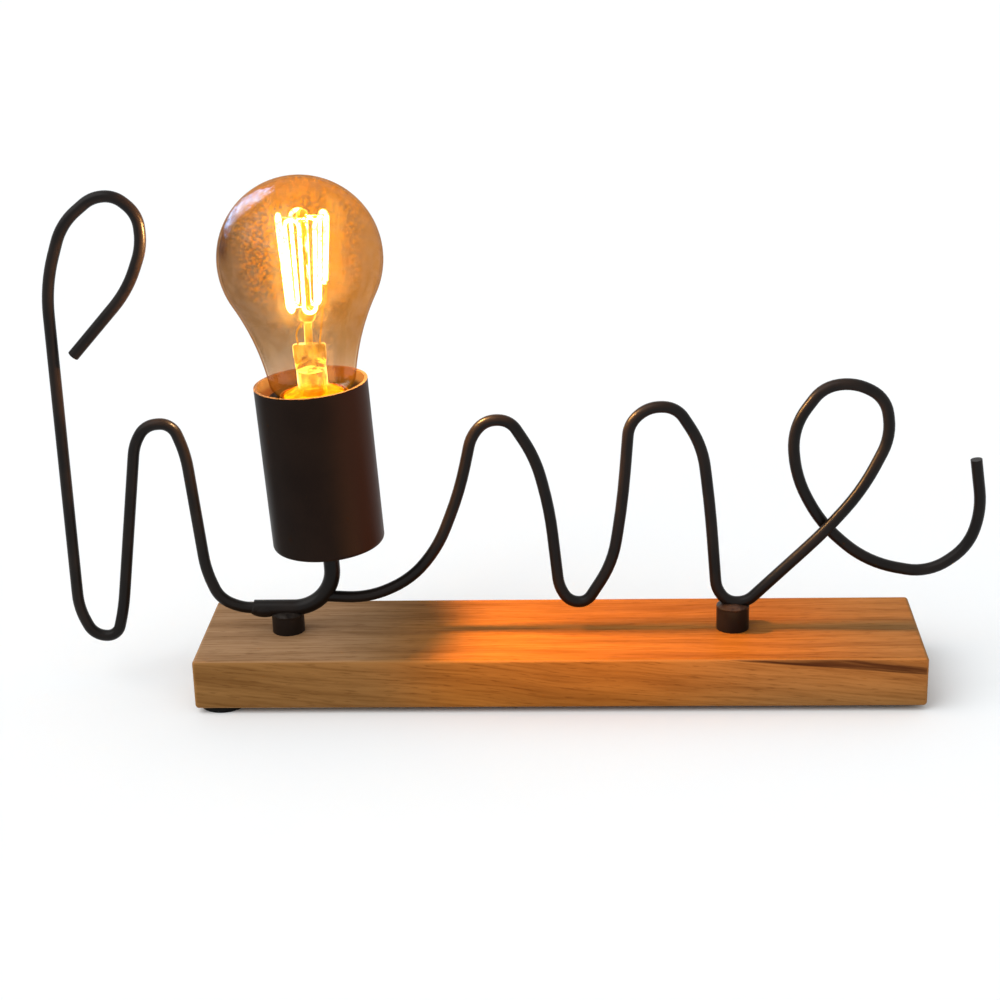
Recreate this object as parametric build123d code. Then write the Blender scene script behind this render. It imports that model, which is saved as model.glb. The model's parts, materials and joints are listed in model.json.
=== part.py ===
from build123d import *
import os
from math import asin, cos, degrees, pi, radians, sin, sqrt, tan

# Accent lamp: a wood bar carries two bent steel rods, a leaning socket cup and a screw-in bulb.
# Sizes are in millimetres and angles in degrees. +X runs to the right along the bar, +Y to its back,
# and the table is at z = 0.

# Wood bar and feet
base_length = 280.0
base_depth = 60.0
base_height = 20.0
base_edge = 1.5
foot_dia = 18.0
foot_height = 2.0
foot_edge = 0.5
left_foot_inset = 0.6
right_foot_inset = 8.0

# Collars that stand on the bar
collar_dia = 12.7
left_collar_inset = 33.5
right_collar_inset = 72.0
left_collar_height = 7.5
right_collar_height = 9.5
saddle_depth = 1.0
weld_rise = 1.5

# Rods and stem tube
rod_dia = 4.5
plug_clearance = 0.1
plug_length = 6.0
stem_wall = 0.8
stem_overhang = 13.0
stem_reach = 19.2
stem_bend_radius = 16.0
stem_rise = 27.1
stem_tail = 0.6
bead_length = 13.0
bead_dia = 6.8
bead_inset = 4.0
bead_drop = 0.5
lean = 2.4
weld_share = 0.5
run_share = 0.48

# Left rod, from the stem's left end: reach to the left and rise above the stem's axis
left_reach = 70.0
left_rise = 165.0
left_rod_shares = (
    (0.887, 0.63),
    (0.559, 0.782),
    (0.463, 0.884),
    (0.472, 0.957),
    (0.586, 0.999),
    (0.707, 0.996),
    (0.882, 0.937),
    (0.998, 0.796),
    (1.0, 0.002),
    (0.929, -0.068),
    (0.793, -0.072),
    (0.744, 0.002),
    (0.6, 0.414),
    (0.53, 0.461),
    (0.384, 0.465),
    (0.321, 0.39),
    (0.259, 0.097),
    (0.194, 0.025),
    (0.071, 0.0),
)

# Right rod between stem and right collar: share of that span, and share of the rise above the collar
hump_rise = 80.0
hump_shares = (
    (0.086, 0.035),
    (0.195, 0.134),
    (0.266, 0.303),
    (0.324, 0.588),
    (0.356, 0.863),
    (0.393, 0.943),
    (0.452, 0.942),
    (0.512, 0.753),
    (0.545, 0.49),
    (0.565, 0.09),
    (0.59, 0.01),
    (0.634, 0.004),
    (0.7, 0.209),
    (0.726, 0.528),
    (0.742, 0.918),
    (0.79, 1.0),
    (0.858, 0.997),
    (0.921, 0.803),
    (0.942, 0.478),
    (0.958, 0.071),
    (0.987, 0.0),
)

# Right rod beyond the collar: shares of its reach, of its rise and of half the crossing's depth
loop_reach = 94.0
loop_rise = 88.5
crossing_gap = 0.4
loop_shares = (
    (0.057, 0.0, 0.0),
    (0.372, 0.345, -1.0),
    (0.516, 0.531, -0.8),
    (0.621, 0.766, -0.5),
    (0.596, 0.934, -0.2),
    (0.473, 1.0, 0.1),
    (0.349, 0.98, 0.4),
    (0.23, 0.799, 0.7),
    (0.248, 0.574, 0.9),
    (0.356, 0.353, 1.0),
    (0.551, 0.171, 1.0),
    (0.801, 0.12, 0.9),
    (0.957, 0.245, 0.7),
    (1.0, 0.42, 0.55),
    (0.968, 0.648, 0.4),
)

# Left collar's hollow stud, washer and nut
stud_dia = 8.0
stud_bore = 5.0
stud_depth = 4.5
stud_tail = 0.8
stud_nut_width = 13.0
stud_nut_height = 4.0
stud_washer_dia = 17.0
left_recess_dia = 20.0
left_recess_depth = 13.0

# Right collar's screw and washer
screw_dia = 6.0
screw_depth = 6.0
screw_head_dia = 10.0
screw_head_height = 5.0
screw_socket_width = 5.0
screw_socket_depth = 3.0
screw_washer_dia = 13.0
right_recess_dia = 15.0
right_recess_depth = 12.0

washer_thickness = 1.2
hole_clearance = 0.3
thread_clearance = 0.05

# Wiring channel under the bar, and its cover
channel_width = 20.0
channel_depth = 11.0
channel_length = 66.0
cover_thickness = 2.0
cover_margin = 6.0
cover_clearance = 0.3
cover_corner = 3.0
cover_screw_dia = 3.0
cover_screw_length = 9.0
cover_screw_head_dia = 5.6
cover_screw_head_height = 1.5

# Terminal block in the channel
block_length = 18.0
block_width = 18.0
block_height = 7.6
block_gap = 30.0
block_edge = 0.8
pole_spacing = 9.0
pole_dia = 4.2
pole_wall = 0.6
clamp_screw_dia = 2.6
clamp_screw_spacing = 10.0
clamp_screw_sink = 0.6
block_screw_dia = 2.4
block_screw_length = 11.0
block_screw_head_dia = 3.4
block_screw_head_height = 1.6

# Cable inlet at the bar's back
grommet_bore = 6.0
grommet_wall = 1.2
grommet_flange_dia = 10.8
grommet_flange = 1.5
grommet_tail = 1.5
cable_offset = 9.0

# Leads
lead_dia = 1.8
lead_pitch = 2.1
lead_bend_radius = 2.4
lead_drop = 2.4
lead_run = 14.0
lead_end_gap = 1.0
lead_step = 1.7

# Socket cup
cup_dia = 43.3
cup_height = 65.4
cup_wall = 1.2
cup_corner = 2.2
cup_skew = 0.8

# Lampholder
sleeve_dia = 10.0
sleeve_length = 9.0
locknut_width = 14.0
locknut_height = 4.0
holder_dia = 36.0
holder_wall = 2.2
holder_ledge = 1.5
holder_base_height = 22.0
holder_base_floor = 3.0
holder_base_corner = 6.0
holder_boss_dia = 15.0
holder_boss_height = 7.0
holder_body_height = 33.0
holder_lip = 2.0
holder_mouth_gap = 1.0
holder_rim_edge = 0.8
carrier_seat = 3.0
carrier_height = 10.0
shell_wall = 0.5
shell_clearance = 0.3
shell_eye_dia = 12.0
shell_lip_gap = 0.5
fit_clearance = 0.05
carrier_clearance = 0.1

# Centre contact
plunger_head_dia = 7.8
plunger_head_height = 3.0
plunger_proud = 1.3
plunger_dia = 4.0
plunger_tail = 1.0
plunger_edge = 0.4
contact_well_depth = 8.0
running_clearance = 0.08
spring_wire = 0.6
spring_dia = 7.0
spring_turns = 4
spring_seat_gap = 0.05

# Lead terminals in the lampholder
terminal_offset = 8.5
terminal_length = 6.0
terminal_width = 7.0
terminal_height = 4.0
terminal_screw_dia = 2.6
terminal_screw_head_dia = 3.8
terminal_screw_head = 1.4

# Bulb cap
cap_dia = 26.0
cap_wall = 0.4
cap_length = 25.5
cap_shell_height = 22.0
cap_taper_height = 3.0
cap_taper = 2.5
cap_contact_dia = 9.0
cap_contact_height = 1.1
cap_contact_edge = 0.6
cap_insulator_dia = 11.5
cap_insulator_height = 2.4
cap_insulator_top = 2.0
cap_insulator_gap = 0.15

# Bulb globe
globe_dia = 61.6
globe_height = 52.0
globe_wall = 0.9
flank_radius = 95.0
throat_dia = 31.0
neck_height = 6.0
neck_tail = 1.0
neck_gap = 0.2

# Glass stem inside the globe
glass_flare_dia = 22.6
glass_flare_height = 4.0
glass_tube_dia = 11.5
glass_tube_wall = 1.1
glass_tube_length = 11.0
press_width = 12.6
press_depth = 4.8
press_blend = 5.0
press_height = 4.5
press_edge = 1.2
arbor_dia = 3.0
lower_button_dia = 6.4
upper_button_dia = 4.4
button_drop = 2.4

# Filament cage
filament_dia = 1.4
mount_lean = 2.8
cage_top = 16.5
cage_bottom = 19.0
cage_top_dia = 19.0
cage_bottom_dia = 14.0
cage_strands = 10
cage_ends = 9.0
hook_dia = 0.5
lead_in_dia = 0.7
lead_in_spacing = 8.0
lead_in_rise = 14.0
lead_in_step = 1.6
lead_in_detour = 4.0

overrun = 1.0

# Heights and places that follow from the sizes above
rod_r = rod_dia / 2
stem_bore = rod_dia + 2 * plug_clearance
stem_dia = stem_bore + 2 * stem_wall
left_collar_x = left_collar_inset - base_length / 2
right_collar_x = base_length / 2 - right_collar_inset
wood_low = foot_height
wood_top = foot_height + base_height
stem_z = wood_top + left_collar_height + stem_dia / 2 - saddle_depth
rod_z = wood_top + right_collar_height + rod_r - saddle_depth
stem_left = left_collar_x - stem_overhang
stem_corner = left_collar_x + stem_reach
channel_roof = wood_low + channel_depth
block_x = left_collar_x + block_gap + block_length / 2
pole_z = channel_roof - block_height / 2
grommet_dia = grommet_bore + 2 * grommet_wall
cable_x = left_collar_x + channel_length - cable_offset
cable_z = wood_low + cover_thickness + (channel_depth - cover_thickness) / 2

# Levels in the lamp head, along its own leaning axis from the outside of the cup's bottom
cup_seat = cup_wall + locknut_width / sqrt(3) * tan(radians(cup_skew))
sleeve_top = cup_seat + sleeve_length
stem_top = sleeve_top + stem_tail
holder_low = cup_seat + locknut_height
holder_joint = holder_low + holder_base_height
holder_top = holder_joint + holder_body_height
carrier_low = holder_joint - carrier_seat
carrier_top = carrier_low + carrier_height
holder_bore = holder_dia - 2 * holder_wall
bulb_foot = carrier_top + plunger_proud
cap_rim = bulb_foot + cap_length
globe_level = cap_rim + globe_height
well_floor = carrier_top - contact_well_depth
terminal_low = carrier_low - terminal_height
glass_low = cap_rim - neck_tail
press_low = glass_low + glass_tube_length
press_top = press_low + press_blend + press_height
cage_high = globe_level + cage_top
cage_low = globe_level - cage_bottom
ends_level = globe_level - cage_ends

# The lamp head's place: its axis starts at the stem's corner and leans to the left
head_place = Pos(stem_corner, 0, stem_z) * Rot(0, -lean, 0) * Pos(0, 0, stem_rise)
# Within the head, the cup sits a little askew, and the filament's mount leans on its press
cup_place = Rot(0, -cup_skew, 0)
mount_place = Pos(0, 0, press_top) * Rot(0, mount_lean, 0) * Pos(0, 0, -press_top)


def upright(radius, low, high, x=0, y=0):
    """A round bar along Z between two heights."""
    bar = Cylinder(radius, high - low, align=(Align.CENTER, Align.CENTER, Align.MIN))
    return Pos(x, y, low) * bar


def slab(length, width, low, high, x=0, y=0):
    """A block between two heights."""
    block = Box(length, width, high - low, align=(Align.CENTER, Align.CENTER, Align.MIN))
    return Pos(x, y, low) * block


def ring(outer, inner, low, high, x=0, y=0):
    """A round sleeve along Z between two heights."""
    return upright(outer, low, high, x, y) - upright(inner, low - overrun, high + overrun, x, y)


def hex_bar(width, low, high, x=0, y=0):
    """A hexagon across flats, between two heights."""
    outline = RegularPolygon(width / 2, 6, major_radius=False)
    return Pos(x, y, low) * extrude(outline, amount=high - low)


def lathe(*outline):
    """A turned solid from pairs of radius and height."""
    return revolve(Plane.XZ * make_face(Polyline(*outline, close=True)), Axis.Z)


def bend_radii(points):
    """The largest bends that fit the straight runs between the corners."""
    corners = [Vector(*point) for point in points]
    radii = []
    for before, here, after in zip(corners, corners[1:], corners[2:]):
        inward = here - before
        outward = after - here
        shorter = min(inward.length, outward.length)
        half_turn = radians(inward.get_angle(outward)) / 2
        radii.append(run_share * shorter / tan(half_turn))
    return radii


def swept(path, section):
    """A section carried along a path of straight runs and tangent arcs."""
    return sweep(Plane(origin=path @ 0, z_dir=path % 0) * section, path=path)


def head_point(x, y, level):
    """A point of the lamp head in the frame of the whole lamp."""
    return (head_place * Pos(x, y, level)).position


def base_block():
    """The bar with its channel, recesses and drillings."""
    bar = slab(base_length, base_depth, wood_low, wood_top)
    bar = fillet(bar.edges(), base_edge)
    under = wood_low - overrun
    for x, hole, recess, depth in (
        (left_collar_x, stud_dia, left_recess_dia, left_recess_depth),
        (right_collar_x, screw_dia, right_recess_dia, right_recess_depth),
    ):
        bar -= upright(hole / 2 + hole_clearance, under, wood_top + overrun, x)
        bar -= upright(recess / 2, under, wood_low + depth, x)
    middle = left_collar_x + channel_length / 2
    bar -= slab(channel_length, channel_width, under, channel_roof, middle)
    length, width, cover_x = cover_size()
    bar -= slab(
        length + 2 * cover_clearance,
        width + 2 * cover_clearance,
        under,
        wood_low + cover_thickness,
        cover_x,
    )
    for x, y in cover_screw_places():
        bar -= upright(cover_screw_dia / 2 + thread_clearance, under, wood_low + cover_screw_length, x, y)
    pilot_top = channel_roof - block_height + block_screw_length
    bar -= upright(block_screw_dia / 2 + thread_clearance, under, pilot_top, block_x)
    back = Pos(cable_x, base_depth / 2, cable_z) * Rot(90, 0, 0)
    depth = base_depth / 2 - channel_width / 2 + overrun
    bar -= back * upright(grommet_dia / 2 + fit_clearance, -overrun, depth)
    bar -= back * upright(grommet_flange_dia / 2 + fit_clearance, -overrun, grommet_flange)
    return bar


def cover_size():
    """Length, width and middle of the channel's cover."""
    low = left_collar_x - left_recess_dia / 2 - cover_margin
    high = left_collar_x + channel_length + cover_margin
    return high - low, channel_width + 2 * cover_margin, (low + high) / 2


def cover_screw_places():
    """Two screws beside the channel at each end of the cover."""
    length, width, middle = cover_size()
    inset = cover_margin / 2
    return [
        (middle + side * (length / 2 - inset), end * (width / 2 - inset))
        for side in (-1, 1)
        for end in (-1, 1)
    ]


def channel_cover():
    """The plate over the wiring channel, with countersunk holes."""
    length, width, middle = cover_size()
    plate = slab(length, width, wood_low, wood_low + cover_thickness, middle)
    plate = fillet(plate.edges().filter_by(Axis.Z), cover_corner)
    for x, y in cover_screw_places():
        plate -= Pos(x, y, 0) * cover_screw(thread_clearance)
    return plate


def cover_screw(gap):
    """One countersunk screw, or the room for it with a gap all round."""
    shank = cover_screw_dia / 2 + gap
    head = cover_screw_head_dia / 2 + gap
    return lathe(
        (0, wood_low),
        (head, wood_low),
        (shank, wood_low + cover_screw_head_height),
        (shank, wood_low + cover_screw_length),
        (0, wood_low + cover_screw_length),
    )


def cover_screws():
    """The four screws of the cover."""
    return [Pos(x, y, 0) * cover_screw(0) for x, y in cover_screw_places()]


def rubber_feet():
    """Two pads at each end of the bar: out in its corners on the left, further in on the right."""
    pad = upright(foot_dia / 2, 0, foot_height)
    pad = fillet(pad.edges().group_by(Axis.Z)[0], foot_edge)
    pads = []
    for side, inset in ((-1, left_foot_inset), (1, right_foot_inset)):
        x = base_length / 2 - inset - foot_dia / 2
        y = base_depth / 2 - inset - foot_dia / 2
        pads += [Pos(side * x, end * y, 0) * pad for end in (-1, 1)]
    return pads


def left_fixing():
    """Hollow stud, washer and nut under the left collar."""
    recess_top = wood_low + left_recess_depth
    nut_top = recess_top - washer_thickness
    nut_low = nut_top - stud_nut_height
    stud = ring(stud_dia / 2, stud_bore / 2, nut_low - stud_tail, wood_top + stud_depth, left_collar_x)
    hole = stud_dia / 2 + thread_clearance
    washer = ring(stud_washer_dia / 2, hole, nut_top, recess_top, left_collar_x)
    nut = hex_bar(stud_nut_width, nut_low, nut_top, left_collar_x)
    nut -= upright(hole, nut_low - overrun, nut_top + overrun, left_collar_x)
    return stud, washer, nut


def right_fixing():
    """Socket screw and washer under the right collar."""
    recess_top = wood_low + right_recess_depth
    head_top = recess_top - washer_thickness
    head_low = head_top - screw_head_height
    screw = upright(screw_head_dia / 2, head_low, head_top, right_collar_x)
    screw += upright(screw_dia / 2, head_low, wood_top + screw_depth, right_collar_x)
    screw -= hex_bar(screw_socket_width, head_low - overrun, head_low + screw_socket_depth, right_collar_x)
    washer = ring(
        screw_washer_dia / 2, screw_dia / 2 + thread_clearance, head_top, recess_top, right_collar_x
    )
    return screw, washer


def stem_path():
    """The stem's centre line: along the bar, then up the leaning axis into the cup."""
    start = Vector(stem_left, 0, stem_z)
    corner = Vector(stem_corner, 0, stem_z)
    return FilletPolyline(start, corner, head_point(0, 0, stem_top), radius=stem_bend_radius)


def stem_outside(stem_line):
    """The stem as a full bar, with the weld's long bead under its mouth."""
    arc = EllipticalCenterArc((0, 0), bead_length / 2, bead_dia / 2, arc_size=180)
    bead = revolve(make_face([arc, Line(arc @ 1, arc @ 0)]), Axis.X)
    place = Pos(stem_left + bead_inset, 0, stem_z - bead_drop)
    return swept(stem_line, Circle(stem_dia / 2)) + place * bead


def stem_tube(stem_line, stem_bar, left_rod):
    """The stem's tube, open for the left rod and for the leads."""
    tube = stem_bar - left_rod - swept(stem_line, Circle(stem_bore / 2))
    return tube - upright(stud_bore / 2, stem_z - stem_dia, stem_z, left_collar_x)


def left_script_rod():
    """The rod left of the cup, from its free tip to its end in the stem."""
    points = [
        (stem_left - across * left_reach, 0, stem_z + up * left_rise) for across, up in left_rod_shares
    ]
    points.append((stem_left + plug_length, 0, stem_z))
    return swept(FilletPolyline(*points, radius=bend_radii(points)), Circle(rod_r))


def right_script_rod(stem_line, stem_bar):
    """The rod right of the cup, from the stem over the right collar to its free end."""
    bend = stem_line.edges().filter_by(GeomType.CIRCLE)[0]
    points = [tuple(bend @ weld_share)]
    span = right_collar_x - stem_corner
    for across, up in hump_shares:
        points.append((stem_corner + across * span, 0, rod_z + up * hump_rise))
    half_depth = (rod_dia + crossing_gap) / 2
    for across, up, back in loop_shares:
        points.append((right_collar_x + across * loop_reach, back * half_depth, rod_z + up * loop_rise))
    return swept(FilletPolyline(*points, radius=bend_radii(points)), Circle(rod_r)) - stem_bar


def collar(height, x):
    """One collar, with the weld as a low dome on its top."""
    dome = ((collar_dia / 2) ** 2 + weld_rise**2) / (2 * weld_rise)
    top = wood_top + height + weld_rise
    return upright(collar_dia / 2, wood_top, top, x) & Pos(x, 0, top - dome) * Sphere(dome)


def collars(stem_bar, right_rod):
    """Both collars, each with the saddle that its tube or rod is welded into."""
    left = collar(left_collar_height, left_collar_x)
    left -= upright(stud_dia / 2 + thread_clearance, wood_top - overrun, wood_top + stud_depth, left_collar_x)
    left -= upright(stud_bore / 2, wood_top - overrun, stem_z, left_collar_x)
    right = collar(right_collar_height, right_collar_x)
    right -= upright(
        screw_dia / 2 + thread_clearance, wood_top - overrun, wood_top + screw_depth, right_collar_x
    )
    return left - stem_bar, right - right_rod


def terminal_block():
    """The two-pole block, its brass tubes and its screws."""
    low = channel_roof - block_height
    body = slab(block_length, block_width, low, channel_roof, block_x)
    body = fillet(body.edges().filter_by(Axis.Z), block_edge)
    body -= upright(block_screw_dia / 2 + thread_clearance, low - overrun, channel_roof + overrun, block_x)
    sunk = low + block_screw_head_height
    body -= upright(block_screw_head_dia / 2 + thread_clearance, low - overrun, sunk, block_x)
    tubes = []
    clamps = []
    for side in (-1, 1):
        y = side * pole_spacing / 2
        along = Pos(block_x, y, pole_z) * Rot(0, 90, 0)
        half = block_length / 2
        body -= along * upright(pole_dia / 2 + fit_clearance, -half - overrun, half + overrun)
        tube = along * ring(pole_dia / 2, pole_dia / 2 - pole_wall, -half, half)
        for end in (-1, 1):
            x = block_x + end * clamp_screw_spacing / 2
            tip = pole_z - lead_dia / 2 - fit_clearance
            room = upright(clamp_screw_dia / 2 + thread_clearance, low - overrun, tip, x, y)
            body -= room
            tube -= room
            clamps.append(upright(clamp_screw_dia / 2, low + clamp_screw_sink, tip, x, y))
        tubes.append(tube)
    screw = upright(block_screw_dia / 2, low, low + block_screw_length, block_x)
    screw += upright(block_screw_head_dia / 2, low, sunk, block_x)
    return body, tubes, clamps, screw


def cable_grommet():
    """The flush bush in the bar's back."""
    depth = base_depth / 2 - channel_width / 2 + grommet_tail
    bush = upright(grommet_dia / 2, 0, depth)
    bush += upright(grommet_flange_dia / 2, 0, grommet_flange)
    bush -= upright(grommet_bore / 2, -overrun, depth + overrun)
    return Pos(cable_x, base_depth / 2, cable_z) * Rot(90, 0, 0) * bush


def lead(side):
    """One lead, from its terminal in the lampholder through stem and stud to the block."""
    y = side * lead_pitch / 2
    recess_top = wood_low + left_recess_depth
    stud_low = recess_top - washer_thickness - stud_nut_height - stud_tail
    low = stud_low - lead_drop
    points = [
        head_point(side * terminal_offset, y, carrier_low - lead_end_gap),
        head_point(side * terminal_offset, y, terminal_low - lead_drop),
        head_point(0, y, stem_top + lead_step),
        Vector(stem_corner, y, stem_z),
        Vector(left_collar_x, y, stem_z),
        Vector(left_collar_x, y, low),
        Vector(left_collar_x + lead_run, side * pole_spacing / 2, pole_z),
        Vector(block_x - lead_end_gap, side * pole_spacing / 2, pole_z),
    ]
    radii = [lead_bend_radius] * (len(points) - 2)
    radii[2] = stem_bend_radius
    return swept(FilletPolyline(*points, radius=radii), Circle(lead_dia / 2))


def socket_cup():
    """The cup: a straight wall, a rounded bottom edge and a hole for the stem."""
    outside = upright(cup_dia / 2, 0, cup_height)
    outside = fillet(outside.edges().group_by(Axis.Z)[0], cup_corner)
    inside = upright(cup_dia / 2 - cup_wall, cup_wall, cup_height + overrun)
    inside = fillet(inside.edges().group_by(Axis.Z)[0], cup_corner - cup_wall)
    cup = outside - inside - upright(stem_dia / 2 + fit_clearance, -overrun, cup_wall + overrun)
    return cup_place * cup


def holder_sleeve():
    """The threaded sleeve on the stem's end, and the nut under the lampholder."""
    sleeve = ring(sleeve_dia / 2, stem_dia / 2 + fit_clearance, cup_seat, sleeve_top)
    nut = hex_bar(locknut_width, cup_seat, holder_low)
    nut -= upright(sleeve_dia / 2 + thread_clearance, cup_seat - overrun, holder_low + overrun)
    return sleeve, nut


def lampholder_base():
    """The lampholder's lower cap: a dish with a threaded boss and a ledge for the carrier."""
    outside = upright(holder_dia / 2, holder_low, holder_joint)
    outside = fillet(outside.edges().group_by(Axis.Z)[0], holder_base_corner)
    floor = holder_low + holder_base_floor
    room = upright(holder_bore / 2 - holder_ledge, floor, carrier_low)
    room = fillet(room.edges().group_by(Axis.Z)[0], holder_base_corner - holder_wall)
    room -= upright(holder_boss_dia / 2, holder_low, holder_low + holder_boss_height)
    seat = upright(holder_bore / 2, carrier_low, holder_joint + overrun)
    thread = upright(sleeve_dia / 2 + thread_clearance, holder_low - overrun, carrier_low)
    return outside - room - seat - thread


def lampholder_body():
    """The lampholder's skirt, with an inward lip round the bulb's cap."""
    skirt = ring(holder_dia / 2, holder_bore / 2, holder_joint, holder_top)
    mouth = cap_dia / 2 + holder_mouth_gap
    skirt += ring(holder_bore / 2, mouth, holder_top - holder_lip, holder_top)
    rims = skirt.edges().group_by(Axis.Z)[-1].sort_by(SortBy.RADIUS)
    return fillet(rims, holder_rim_edge)


def contact_carrier():
    """The insulating disc that holds shell, centre contact and terminals."""
    disc = upright(holder_bore / 2 - carrier_clearance, carrier_low, carrier_top)
    disc -= upright(plunger_head_dia / 2 + running_clearance, well_floor, carrier_top + overrun)
    return disc - upright(plunger_dia / 2 + running_clearance, carrier_low - overrun, carrier_top)


def screw_shell():
    """The brass screw shell, plain inside, with a flange that lies on the carrier."""
    bore = cap_dia / 2 + shell_clearance
    top = holder_top - holder_lip - shell_lip_gap
    wall = ring(bore + shell_wall, bore, carrier_top, top)
    return wall + ring(bore + shell_wall, shell_eye_dia / 2, carrier_top, carrier_top + shell_wall)


def contact_plunger():
    """The sprung centre contact: a flat head on a guide pin."""
    head = upright(plunger_head_dia / 2, bulb_foot - plunger_head_height, bulb_foot)
    head = fillet(head.edges().group_by(Axis.Z)[-1], plunger_edge)
    return head + upright(plunger_dia / 2, carrier_low - plunger_tail, bulb_foot - plunger_head_height)


def contact_spring():
    """The coil spring under the contact's head, as one unbroken wire."""
    low = well_floor + spring_wire / 2 + spring_seat_gap
    high = bulb_foot - plunger_head_height - spring_wire / 2 - spring_seat_gap
    pitch = (high - low) / spring_turns
    print("spring: least gap between turns", round(pitch - spring_wire, 3))
    coil = Pos(0, 0, low) * Helix(pitch, high - low, (spring_dia - spring_wire) / 2)
    section = Plane(origin=coil @ 0, z_dir=coil % 0) * Circle(spring_wire / 2)
    return sweep(section, path=coil, is_frenet=True)


def lead_terminals():
    """Two brass posts under the carrier, and the screw that clamps a lead in each."""
    posts = []
    screws = []
    for side in (-1, 1):
        y = side * lead_pitch / 2
        x = side * terminal_offset
        post = slab(terminal_length, terminal_width, terminal_low, carrier_low, x, y)
        post -= upright(lead_dia / 2 + fit_clearance, terminal_low - overrun, carrier_low + overrun, x, y)
        level = terminal_low + terminal_height / 2
        across = Pos(x, y, level) * Rot(0, side * 90, 0)
        tip = lead_dia / 2 + fit_clearance
        post -= across * upright(terminal_screw_dia / 2 + thread_clearance, 0, terminal_length)
        screw = upright(terminal_screw_dia / 2, tip, terminal_length / 2 + terminal_screw_head)
        screw += upright(
            terminal_screw_head_dia / 2, terminal_length / 2, terminal_length / 2 + terminal_screw_head
        )
        posts.append(post)
        screws.append(across * screw)
    return posts, screws


def bulb_cap():
    """The bulb's screw cap: shell, black insulator and foot contact."""
    rim = cap_dia / 2
    low = cap_rim - cap_shell_height
    inner = rim - cap_wall
    shell = lathe(
        (rim - cap_taper, low),
        (rim, low + cap_taper_height),
        (rim, cap_rim),
        (inner, cap_rim),
        (inner, low + cap_taper_height),
        (inner - cap_taper, low),
    )
    contact_top = bulb_foot + cap_contact_height
    contact = upright(cap_contact_dia / 2, bulb_foot, contact_top)
    contact = chamfer(contact.edges().group_by(Axis.Z)[0], cap_contact_edge)
    widest = inner - cap_taper - cap_insulator_gap
    insulator = lathe(
        (0, contact_top),
        (cap_insulator_dia / 2, contact_top),
        (widest, contact_top + cap_insulator_height),
        (widest, low + cap_insulator_top),
        (0, low + cap_insulator_top),
    )
    return shell, insulator, contact


def globe(inset):
    """The globe's outline turned solid, drawn in by an inset."""
    ball = globe_dia / 2 - inset
    flank = flank_radius + inset
    neck = cap_dia / 2 - cap_wall - neck_gap - inset
    # The flank is a hollow arc that touches the ball and would be narrowest at the throat
    flank_x = throat_dia / 2 + flank_radius
    flank_drop = sqrt((globe_dia / 2 + flank_radius) ** 2 - flank_x**2)
    flank_centre = (flank_x, globe_level - flank_drop)
    touch = degrees(asin(flank_drop / (ball + flank)))
    shoulder = degrees(asin((cap_rim + neck_height - flank_centre[1]) / flank))
    ball_arc = CenterArc((0, globe_level), ball, 90, -90 - touch)
    flank_arc = CenterArc(flank_centre, flank, 180 - touch, touch - shoulder)
    neck_arc = TangentArc(flank_arc @ 1, (neck, cap_rim), tangent=flank_arc % 1)
    low = glass_low - (overrun if inset else 0)
    closing = Polyline((neck, cap_rim), (neck, low), (0, low), (0, globe_level + ball))
    return revolve(Plane.XZ * make_face([ball_arc, flank_arc, neck_arc, closing]), Axis.Z)


def glass_stem():
    """The glass stem: flare, tube, flattened press, and the rod with its two buttons."""
    tube_r = glass_tube_dia / 2
    bore = tube_r - glass_tube_wall
    flare_r = glass_flare_dia / 2
    flare_top = glass_low + glass_flare_height
    tube = lathe(
        (bore, glass_low),
        (flare_r, glass_low),
        (flare_r, glass_low + glass_tube_wall),
        (tube_r, flare_top),
        (tube_r, press_low),
        (0, press_low),
        (0, press_low - glass_tube_wall),
        (bore, press_low - glass_tube_wall),
    )
    press_outline = SlotOverall(press_width, press_depth)
    blend_top = press_low + press_blend
    blend = loft([Pos(0, 0, press_low) * Circle(tube_r), Pos(0, 0, blend_top) * press_outline])
    press = extrude(Pos(0, 0, blend_top) * press_outline, amount=press_height)
    press = fillet(press.edges().group_by(Axis.Z)[-1], press_edge)
    arbor = upright(arbor_dia / 2, blend_top, cage_high)
    lower = Pos(0, 0, cage_low - button_drop) * Sphere(lower_button_dia / 2)
    upper = Pos(0, 0, cage_high) * Sphere(upper_button_dia / 2)
    return tube + blend + press + mount_place * (arbor + lower + upper)


def cage_angle(strand):
    """The bearing of one upright strand, counted from the right."""
    return 2 * pi * (strand + 1 / 2) / cage_strands


def cage_point(strand, level):
    """A point of one strand: the cage widens from bottom to top."""
    climb = (level - cage_low) / (cage_high - cage_low)
    radius = (cage_bottom_dia + climb * (cage_top_dia - cage_bottom_dia)) / 2
    return (radius * cos(cage_angle(strand)), radius * sin(cage_angle(strand)), level)


def mounted(x, y, level):
    """A point of the filament's mount, leaning with it."""
    return (mount_place * Pos(x, y, level)).position


def filament():
    """The filament: strands that run up and down round the glass rod, in one wire."""
    points = [cage_point(0, ends_level)]
    for strand in range(cage_strands - 1):
        level = cage_low if strand % 2 else cage_high
        points.append(cage_point(strand, level))
        points.append(cage_point(strand + 1, level))
    points.append(cage_point(cage_strands - 1, ends_level))
    wire = swept(FilletPolyline(*points, radius=bend_radii(points)), Circle(filament_dia / 2))
    return mount_place * wire


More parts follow.
